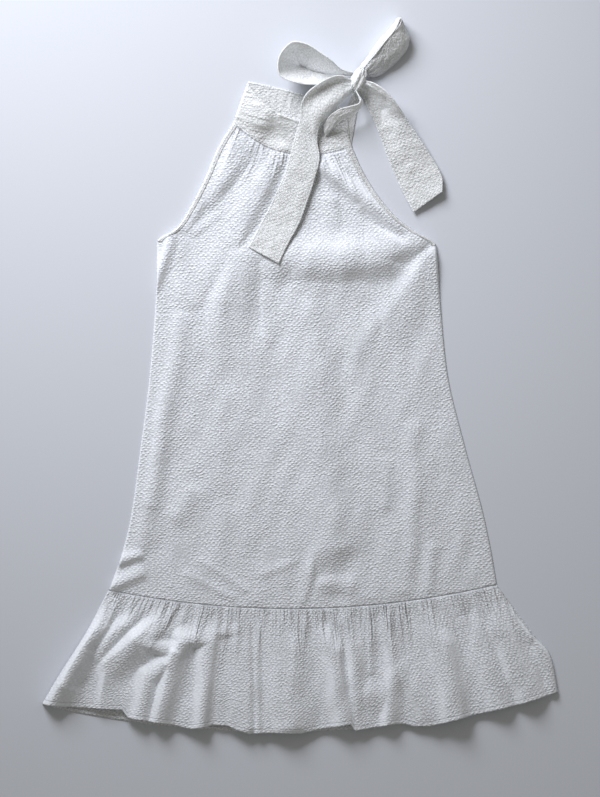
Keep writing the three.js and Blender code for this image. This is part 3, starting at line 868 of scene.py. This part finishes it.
RUFFLE_FOLDS = [
    (-273, -276, -297, -316, 0, 7, 12, 12, 14, 2.4),  # left edge, and the long slope beside it
    (-297, -316, -327, -355, 0, 12, 21, 12, 16, 2.4),
    (-327, -355, -357, -409, 0, 21, 27, 12, 18, 2.6),
    (-357, -409, -378, -448, 0, 27, 12, 12, 20, 2.4),
    (-228, -283, -267, -322, 2, 6, 12, 14, 13, 2.4),  # second ridge
    (-267, -322, -304, -366, 0, 12, 6, 14, 13, 2.4),
    (-165, -280, -210, -310, 2, 6, 12, 14, 28, 2.2),  # third ridge, down to the two pockets
    (-210, -310, -249, -343, 0, 12, 18, 14, 34, 2.4),
    (-249, -343, -288, -378, 0, 18, 9, 14, 30, 2.6),
    (-288, -378, -302, -475, 0, 9, 2, 8, 18, 2.2),
    (-198, -360, -249, -343, 0, 13, 17, 20, 10, 3),
    (-192, -373, -225, -400, 0, 14, 12, 20, 13, 2.4),
    (-225, -400, -242, -475, 0, 12, 11, 18, 12, 2.4),
    (-189, -361, -216, -472, 1, 18, 13, 12, 17, 2.6),
    (-138, -343, -178, -343, 0, 10, 14, 24, 10, 3),
    (-178, -346, -198, -379, 0, 15, 16, 12, 17, 2.8),
    (-117, -286, -134, -343, 0, 5, 11, 16, 10, 2.3),
    (-134, -343, -148, -475, 0, 11, 13, 16, 10, 2.3),
    (-90, -328, -126, -330, 0, 4, 7, 14, 10, 2.4),
    (-80, -292, -76, -475, 0, 3, 8, 26, 9, 2.4),
    (-64, -301, -62, -493, 0, 3, 7, 8, 6, 2),
    (-24, -301, -15, -472, 0, 4, 15, 30, 22, 2),
    (36, -304, -3, -307, 0, -5, -5, 8, 24, 2),  # the fold that laps over
    (30, -307, 50, -361, 0, 3, 12, 18, 13, 2.4),
    (50, -361, 69, -475, 0, 12, 14, 18, 13, 2.4),
    (68, -292, 81, -349, 0, 6, 9, 13, 14, 2.3),
    (81, -349, 88, -475, 0, 9, 6, 13, 14, 2.3),
    (106, -292, 106, -391, 0, 4, 3, 7, 6, 2),
    (132, -424, 81, -427, 0, 5, 6, 20, 30, 2),
    (126, -292, 144, -382, 0, 5, 8, 12, 15, 2.2),
    (144, -382, 130, -475, 0, 8, 8, 12, 15, 2.2),
    (207, -475, 146, -384, 0, 9, 8, 18, 12, 2),
    (192, -289, 216, -351, 0, 6, 13, 30, 16, 2.4),
    (216, -351, 238, -475, 0, 13, 18, 30, 16, 2.4),
    (220, -295, 192, -295, 0, -5, -5, 8, 10, 2),
    (255, -298, 225, -298, 0, -5, -5, 8, 10, 2),
    (255, -304, 279, -373, 0, 4, 10, 18, 20, 2),
    (279, -373, 303, -457, 0, 10, 13, 18, 20, 2),
    (348, -336, 285, -274, 0, 6, 4, 9, 18, 2),  # right edge
    (273, -283, 300, -331, 0, 4, 10, 18, 26, 2),
    (300, -331, 345, -442, 0, 10, 15, 18, 26, 2),
    (350, -337, 382, -430, 0, 4, 6, 10, 26, 2),
]

WAIST_GATHERS = [
    # from_x, to_x, reach down, strength, lean
    (-284, -236, 34, 0.8, -0.5),
    (-236, -192, 42, 1.0, -0.4),
    (-192, -130, 56, 1.1, -0.22),
    (-130, -60, 38, 1.0, -0.1),
    (-60, 20, 32, 0.9, 0.0),
    (20, 60, 40, 1.1, 0.15),
    (60, 140, 44, 1.0, 0.05),
    (140, 215, 34, 0.9, 0.15),
    (215, 290, 48, 0.9, 0.35),
]

HEM = [
    # x, then how far the hem hangs below the panel's smooth curve
    (-378, 0), (-315, -9), (-266, -15), (-258, -5), (-198, -4), (-163, 0), (-130, -8), (-110, -9),
    (-94, -3), (-76, 2), (-37, 0), (4, 1), (37, -5), (77, -9), (82, 2), (138, -3), (159, 0), (170, 5),
    (195, 8), (244, 4), (291, 3), (330, 3), (388, 0),
]

print(len(RUFFLE_FOLDS), "folds on the ruffle")

# %% The ruffle's front
RUFFLE_COLUMNS, RUFFLE_ROWS = 380, 96
RUFFLE_WIDTH = 680.0    # across the middle of the ruffle
RUFFLE_ROLL = 9.0       # radius of its rolled sides
GATHER_REACH = 0.33     # share of its height in which the body's folds give way to its own
FULLNESS = 1.18         # cloth across the hem for each length that shows
HEM_RISE = 4.5          # how far the whole hem stands off the floor, apart from its ridges
RUFFLE_UNEVEN = 0.6     # height of the unevenness between its folds
RUFFLE_SEAM_REACH = 1.8
WAIST_GAP = -0.05       # it starts just below the body

ruffle_plan = plan_of(RUFFLE, WAIST_GAP)
hem_x, hem_drop = np.array(HEM, float).T
u, v, x, y, from_seam, from_hem = spread(ruffle_plan, RUFFLE_COLUMNS, RUFFLE_ROWS, crowd=0.3)
y = y - np.interp(x, hem_x, hem_drop) * smooth(0.6, 1.0, v)
from_side = side_distance(ruffle_plan, u, v)
own, shared = lift_of(RUFFLE_FOLDS, x, y), lift_of(FRONT_FOLDS, x, y)
height = FRONT_BOTTOM + CLOTH + puff_at(u) + shared
height += (np.maximum(own, shared) - shared) * smooth(0, GATHER_REACH, v)
height += HEM_RISE * smooth(0, 0.9, v) * smooth(0, 0.25, u) * smooth(1, 0.75, u)
away = smooth(0, 20, from_side) * smooth(0, 30, from_seam)
height += RUFFLE_UNEVEN * away * slow_waves(x, y, seed=21, longest=60, shortest=18, stretch=2.4)
height = seam_roll(height, CLOTH, from_side, RUFFLE_ROLL)
height -= SEAM_DIP * fade(from_seam, RUFFLE_SEAM_REACH)
cut = stack((u - 0.5) * RUFFLE_WIDTH * FULLNESS, -from_seam)
ruffle = piece_of_cloth("front_ruffle", stack(x, y, height), cut, stack(from_hem, x), **SINGLE,
                        drawn=gathers(x, from_seam, WAIST_GATHERS))

# %% [markdown]
# The back ruffle is the same strip. It lies flat below the front one, and only shows where the front's hem
# is lifted, so it needs neither folds nor gathers.

# %% The ruffle's back
back_ruffle_plan = plan_of(BACK_RUFFLE, WAIST_GAP)
u, v, x, y, from_seam, from_hem = spread(back_ruffle_plan, 160, 40)
cut = stack((u - 0.5) * RUFFLE_WIDTH * FULLNESS, y)
back_ruffle = piece_of_cloth("back_ruffle", stack(x, y, CLOTH), cut, stack(from_hem, x), **SINGLE)

# %% [markdown]
# ## Neckband
#
# The neckband is a double band. At the back it lies flat. At the front it has slumped forward and buckled,
# so there is a lit slope on its left, a hollow behind that, and a small crisp crease near the tie. At its
# left fold the front is drawn into fine gathers across the band.

# %% Tables of the neckband
FRONT_COLLAR = [
    (-79, 492, 67, 432, -15, 22),  # top edge, slumped forward
    (-90, 463, 73, 414, -13, 25),
    (-100, 434, 78, 396, -11, 28),  # neck seam
]

BACK_COLLAR = [
    (-77, 494, 70, 452, 0, -4),
    (-88, 464, 73, 425, 0, 2),
    (-100, 434, 76, 398, 0, BACK_NECK_SAG),
]

COLLAR_FOLDS = [
    (-48, 450, -88, 414, 2, 13, 10, 40, 21, 2.6),  # the buckle
    (-8, 442, -48, 450, -2, 9, 13, 14, 23, 2.4),
    (-4, 439, -30, 445, 0, 12.5, 15, 2.5, 9, 2),  # the crisp crease beside the tie
    (-30, 445, -34, 452, 0, 15, 9, 3, 5, 2),
    (-10, 418, 20, 412, 0, 3, 3, 14, 14, 2),
    (-66, 412, 4, 392, -10, 1.6, 2, 5, 5, 2),
]

print(len(COLLAR_FOLDS), "folds on the neckband")

# %% The neckband's front
COLLAR_ROLL = 4.0       # radius of its rolled sides
NECK_SEAM_DIP, NECK_SEAM_REACH = 0.9, 1.6
CREASE_REACH = 34.0     # how far the gathers run in from the band's left fold
CREASE_STRENGTH = 0.8
LEFT_FOLD = -92.0       # x where the band is most crumpled
CRUMPLE_REACH = 16      # how far that runs to either side
BAND_UNEVEN = 0.4       # height of the small folds there; half of that elsewhere
LEAST_RISE = 0.3        # keeps its lower side off the floor

collar_plan = plan_of(FRONT_COLLAR, GAP)
u, v, x, y, from_top, from_seam = spread(collar_plan, 120, 50, crowd=0.3)
own = COLLAR_BOTTOM + BAND + lift_of(COLLAR_FOLDS, x, y)
shared = front_height(u, x, y - GAP) + (BAND - CLOTH) / 2
height = own + (shared - own) * smooth(0.5, 1, v)
small_folds = slow_waves(y, x, seed=31, longest=16, shortest=7, stretch=3.0) * smooth(0, 8, from_seam)
height += (0.5 + 0.5 * fade(x - LEFT_FOLD, CRUMPLE_REACH)) * small_folds * BAND_UNEVEN
height = seam_roll(height, BAND, side_distance(collar_plan, u, v), COLLAR_ROLL)
height -= NECK_SEAM_DIP * fade(from_seam, NECK_SEAM_REACH)
height = np.maximum(height, BAND + LEAST_RISE)
from_fold = x - collar_plan(0 * v, v)[0]
strength = CREASE_STRENGTH * fade(from_fold, CREASE_REACH)
drawn = stack((y + 0.35 * from_fold) / GATHER_PITCH, from_fold / 50, strength)
front_collar = piece_of_cloth("front_collar", stack(x, y, height), stack(x, y),
                              stack(np.minimum(from_seam, from_top), x), **DOUBLE, drawn=drawn)

# %% [markdown]
# The band's back lies flat on the floor. It shows above the slumped front, so it gets fine ridges across
# it.

# %% The neckband's back
BACK_RIDGES = 0.35      # height of its ridges
BACK_SINK = 0.3         # how far the lowest may sink below its level

back_collar_plan = plan_of(BACK_COLLAR, GAP)
u, v, x, y, from_top, from_seam = spread(back_collar_plan, 120, 40)
ridges = slow_waves(x, y, seed=33, longest=11, shortest=6, stretch=4.0)
inner = smooth(0, 6, from_top) * smooth(0, 4, side_distance(back_collar_plan, u, v))
height = np.maximum(BAND + BACK_RIDGES + BACK_RIDGES * ridges * inner, BAND - BACK_SINK)
back_collar = piece_of_cloth("back_collar", stack(x, y, height), stack(x, y),
                             stack(np.minimum(from_top, from_seam), x), **DOUBLE)

# %% [markdown]
# ## Armhole bindings
#
# A narrow binding finishes each armhole. It lies on the front panel's edge, so it is made from the same
# heights.

# %% The bindings
BINDING = {**DOUBLE, "wall": 0.9}
BINDING_RISE = 0.9      # how round it is
BINDING_STAND = 0.25    # how far it stands off the panel
ARMHOLE_SIDE = 700.0    # length of the front, for the maps


def binding(node, side):
    """The strip along one armhole. `side` is 0 for the left one and 1 for the right one."""
    across, down = np.meshgrid(np.linspace(0, 1, 9), np.linspace(0, UNDERARM, 121))
    width = front_plan(0 * down + 1, down)[0] - front_plan(0 * down, down)[0]
    from_edge = across * BINDING_WIDTH
    u = from_edge / width if side == 0 else 1 - from_edge / width
    x, y = front_plan(u, down)
    height = seam_roll(front_height(u, x, y), CLOTH, from_edge, SIDE_ROLL)
    height += BINDING_RISE * np.sqrt(np.clip(1 - (2 * across - 1) ** 4, 0, 1)) + BINDING_STAND
    grids = [stack(x, y, height), stack(from_edge, down * ARMHOLE_SIDE),
             stack(BINDING_WIDTH - from_edge, down * ARMHOLE_SIDE)]
    if side == 1:
        grids = [grid[:, ::-1] for grid in grids]
    return piece_of_cloth(node, *grids, **BINDING)


left_binding = binding("armhole_binding_left", 0)
right_binding = binding("armhole_binding_right", 1)

# %% [markdown]
# ## Bow
#
# The two ends of the neckband are tied beside the neck. Loops, tails and straps are all stretches of one
# band, 52 mm wide. Each is a strip between two edge curves: a row of the table is one rib across the band,
# with the place of both edges and how far the band bulges between them. The loops stand on edge, the left
# tail lies on the dress, and the right tail on the floor. Near the knot the band is squeezed into pleats.

# %% Tables of the bow
RIB = ("ax", "ay", "az", "bx", "by", "bz", "lift1", "lift2", "rests")

LEFT_LOOP = [
    (80, 502, 12, 79, 506, 20, 0, 0, 0),
    (58, 504, 5, 60, 512, 29, 1, 1, 0),
    (36, 507, 2, 44, 525, 41, 2, 2, 0),
    (17.5, 511, 1.6, 22, 540, 45, 3, 3, 0),
    (7.5, 516.5, 1.6, 4, 549, 47, 3, 3, 0),
    (3.5, 517.5, 1.6, -14, 549, 46, 4, 4, 0),
    (2, 518, 1.6, -31, 528, 43, 4, 4, 0),
    (3, 517, 1.6, -31, 502, 40, 3, 3, 0),
    (10, 513.5, 1.6, -9, 491, 38, 2, 2, 0),
    (27, 509.5, 1.6, 20, 488, 30, 2, 2, 0),
    (52, 502, 4, 48, 493, 19, 1, 1, 0),
    (80, 499, 9, 78, 498, 16, 0, 0, 0),
]

RIGHT_LOOP = [
    (94, 502, 8, 93, 505, 18, 0, 0, 0),
    (115, 502, 2, 106, 524, 24, 3, 3, 0),
    (136, 516, 1.6, 122.5, 545.5, 29, 6, 5, 0),
    (154, 534, 1.6, 136, 562, 32, 8, 6, 0),
    (162, 550, 1.6, 146, 573.5, 33, 6, 4, 0),
    (157, 569, 1.6, 151, 582, 33, 2, 1, 0),
    (148, 588, 1.6, 149.5, 586, 33.5, 1, 1, 0),
    (139, 574, 1.6, 143, 571, 33.5, 3, 4, 0),
    (122, 555, 1.6, 128, 552, 32.5, 4, 6, 0),
    (107, 537, 3, 114, 534, 28.5, 3, 5, 0),
    (93, 521, 6, 102, 520.5, 23, 0, 0, 0),
    (86, 507, 11, 89, 508, 18, 0, 0, 0),
]

FRONT_STRAP = [
    (38, 412, 6, 34, 427, 10, 0, 0, 0),
    (50, 425, 14, 45, 442, 28, 2, 1, 0),
    (63, 435, 20, 60, 451, 36, 3, 2, 0),
    (77, 442, 22, 75, 455, 38, 3, 2, 0),
    (87, 451, 22, 87, 459, 37, 3, 2, 0),
    (91, 460, 20, 90, 466, 34, 2, 2, 0),
    (88, 470, 14, 86, 473, 30, 1, 1, 0),
    (84, 484, 12, 82, 482, 22, 0, 0, 0),
]

LEFT_TAIL = [
    (80, 494, 17, 85, 486, 13, 0, 0, 0),
    (61, 501, 33, 74, 474, 17, -4, 2, 0),
    (44, 497, 40, 61, 461, 20, -7, 3, 0),
    (26, 487, 41, 47, 448, 21, -7, 4, 0),
    (10, 474, 34, 38, 438, 20, -4, 4, 0),
    (2, 459, 23, 31, 430, 18, -1, 3, 0),
    (1, 441, 17, 27, 418, 15, 0, 1, 0),
    (-4, 424, 13, 26, 403, 12, 1, 0, 0),
    (-13, 390, 1, 29, 376, 5, 1, 0, 1),
    (-23, 356, 0, 19, 338, 5, 1, 1, 1),
    (-46, 306, 0, 0, 284, 4.5, 0, 0, 1),
    (-61, 277, 0, -16, 254, 3.5, 0, 0, 1),
    (-77, 246, 0, -32, 221, 2, 0, 0, 1),
]

RIGHT_TAIL = [
    (88, 485, 13, 94, 495, 15, 0, 0, 0),
    (93, 474, 2, 109, 491, 33, -4, -1, 0),
    (99, 459, 1.6, 129, 477, 39, -8, -3, 0),
    (107, 443, 1.6, 146, 457, 32, -11, -5, 0),
    (116, 422, 1.6, 161, 436, 15, -2, 0, 0),
    (129, 387, 2, 182, 405, 7, 2, 2, 0),
    (143, 352, 1.4, 203, 372, 4, 2, 2, 0),
    (155, 326, 3, 213, 350, 7, 1, 1, 0),
    (170, 298, 6, 213, 329, 12, 0, 0, 0),
]

BACK_STRAP = [
    (70.35, 452.3, 0.95, 76.35, 398.3, 0.95, 0, 0, 0),
    (72, 461, 0.95, 82, 430, 0.95, 0, 0, 0),
    (75, 470, 0.95, 87, 456, 0.95, 0, 0, 0),
    (80, 484, 1.4, 94, 480, 1.4, 0, 0, 0),
    (83, 494, 6, 92, 492, 6, 0, 0, 0),
]

print(len(LEFT_LOOP + RIGHT_LOOP), "ribs in the loops,", len(LEFT_TAIL + RIGHT_TAIL), "in the tails")

# %% How a tie rests, and the curve of its edges
TIE_REST = 0.5          # how far a tie stands off the cloth that it rests on


def top_of_front(x, y):
    """Where the middle of a tie's wall lies when it rests on the dress."""
    return FRONT_BOTTOM + PUFF + CLOTH + lift_of(FRONT_FOLDS, x, y) + TIE_REST + BAND / 2


def through(knots, t):
    """A smooth curve through points, t from 0 at the first to 1 at the last."""
    last = len(knots) - 1
    i = np.clip((t * last).astype(int), 0, last - 1)
    s = (t * last - i)[:, None]
    ends = np.vstack([2 * knots[0] - knots[1], knots, 2 * knots[-1] - knots[-2]])
    p0, p1, p2, p3 = ends[i], ends[i + 1], ends[i + 2], ends[i + 3]
    return 0.5 * (2 * p1 + (p2 - p0) * s + (2 * p0 - 5 * p1 + 4 * p2 - p3) * s**2
                  + (3 * p1 - p0 - 3 * p2 + p3) * s**3)


print("a tie rests", TIE_REST, "mm above the cloth")

# %% [markdown]
# A strip is filled in between its two edge curves. Then it is pushed outwards from its own surface, by the
# bulge that its ribs give, by the pleats beside the knot and by small crumples, and lifted where it would
# sink into what it rests on.

# %% A strip of band
BAND_WIDTH = 52.0
PLEAT_PITCH = 13.0      # from pleat to pleat beside the knot
PLEAT_REACH = 22.0      # how far the pleats run out from it


def strip(node, ribs, columns, rows, pleats=0.0, wave_height=0.5, seed=1, both_ends=False):
    """A stretch of band through its ribs. `pleats` is the depth of the pleats beside the knot."""
    r = table(RIB, ribs)
    t, s = np.linspace(0, 1, rows + 1), np.linspace(0, 1, columns + 1)
    edges = []
    for side in "ab":
        x, y, z = (r[side + axis] for axis in "xyz")
        edges.append(through(stack(x, y, z + r["rests"] * top_of_front(x, y)), t))
    edge_a, edge_b = edges
    points = edge_a[:, None] * (1 - s[None, :, None]) + edge_b[:, None] * s[None, :, None]
    normal = np.cross(np.gradient(points, axis=0), np.gradient(points, axis=1))
    normal /= np.linalg.norm(normal, axis=-1, keepdims=True)
    place = t * (len(ribs) - 1)
    lift1, lift2, resting = (
        np.interp(place, np.arange(len(ribs)), r[name])[:, None] for name in ("lift1", "lift2", "rests")
    )
    # a curve that passes lift1 at a third of the way across, and lift2 at two thirds
    bulge = 4.5 * s * (1 - s) * (lift1 * (2 - 3 * s) + lift2 * (3 * s - 1))
    steps = np.linalg.norm(np.diff(points.mean(1), axis=0), axis=1)
    length = np.concatenate([[0], np.cumsum(steps)])
    run, cross = np.meshgrid(length, s * BAND_WIDTH, indexing="ij")
    from_edge = np.minimum(cross, BAND_WIDTH - cross)
    near = fade(run, PLEAT_REACH)
    if both_ends:
        near = near + fade(length[-1] - run, PLEAT_REACH)
    bulge = bulge + pleats * near * np.cos(cross * 2 * math.pi / PLEAT_PITCH + seed)
    calm = smooth(0, 4, from_edge) * 0.8 + 0.2
    crumples = slow_waves(run, cross, seed=seed, longest=40, shortest=10, stretch=1.0)
    points = points + normal * (bulge + wave_height * calm * crumples)[..., None]
    lowest = BAND / 2 + resting * (top_of_front(points[..., 0], points[..., 1]) - BAND / 2)
    points[..., 2] = np.maximum(points[..., 2], lowest)
    print(f"{node}: {length[-1]:.0f} mm of band")
    return piece_of_cloth(node, points, stack(cross, run), stack(from_edge, run), **DOUBLE,
                          offset=0.0, slack=0.5 + 0.5 * slack_of(points))


print("the band is", BAND_WIDTH, "mm wide")

# %% [markdown]
# With the helpers ready, each strip is one line. The loops are drawn into pleats at both ends, the tails at
# one, and the straps lie so tight that they need none. Each has a seed of its own, so no two crumple alike.

# %% The bow's strips
left_loop = strip("left_loop", LEFT_LOOP, 30, 220, pleats=0.8, seed=2, both_ends=True)
right_loop = strip("right_loop", RIGHT_LOOP, 30, 220, pleats=0.8, seed=3, both_ends=True)
front_strap = strip("front_strap", FRONT_STRAP, 30, 110, seed=4, wave_height=0.4)
back_strap = strip("back_strap", BACK_STRAP, 24, 70, seed=5, wave_height=0.05)
left_tail = strip("left_tail", LEFT_TAIL, 34, 260, pleats=0.8, seed=6, wave_height=0.35)
right_tail = strip("right_tail", RIGHT_TAIL, 34, 220, pleats=0.8, seed=7, wave_height=0.35)

# %% [markdown]
# ## Knot
#
# The knot is the band wrapped once round the bow's waist. Squeezed so hard, it shows as a few pleats that
# run the way it is wrapped. A sphere with close rings is stretched along that way, and grooves are pressed
# into it.

# %% The knot
KNOT_HALF = np.array([11.0, 19.0, 15.0])
KNOT_HEIGHT = 17.0      # of its middle over the floor
KNOT_TILT = -0.4
KNOT_SLACK = 0.8
KNOT_CORE = 0.78        # share of its size that is left in the deepest grooves
KNOT_ROUND, KNOT_ALONG = 12, 20     # mm of band for the map

shape = bmesh.new()
bmesh.ops.create_uvsphere(shape, u_segments=96, v_segments=64, radius=1.0)
mesh, ball = mesh_from(shape, "knot_cloth")
ball = ball[:, [0, 2, 1]] * [1, 1, -1]      # the poles lie along y
around = np.arctan2(ball[:, 2], ball[:, 0])
pole = np.clip(ball[:, 1], -1, 1)
pleats = 0.17 * np.abs(np.sin(2.5 * around + 1.1 * pole))
pleats += 0.12 * np.abs(np.sin(4.0 * around - 0.7 * pole + 0.9))
knot_points = ball * (KNOT_CORE + pleats)[:, None] * KNOT_HALF
turn = np.array([[math.cos(KNOT_TILT), -math.sin(KNOT_TILT)], [math.sin(KNOT_TILT), math.cos(KNOT_TILT)]])
knot_points[:, :2] = knot_points[:, :2] @ turn.T
knot_points += [*KNOT_PLAN, KNOT_HEIGHT]
knot_cut = stack(around * KNOT_ROUND, pole * KNOT_ALONG)
store(mesh, knot_points, np.full(len(ball), KNOT_SLACK), Cut=knot_cut, Edge=0 * knot_cut + NO_STITCH)
knot = piece_from(mesh, "knot", BAND_FINISH, "seersucker_band")

# %% [markdown]
# ## All the sheets

# %% Sheets
print("all the sheets of cloth are made")
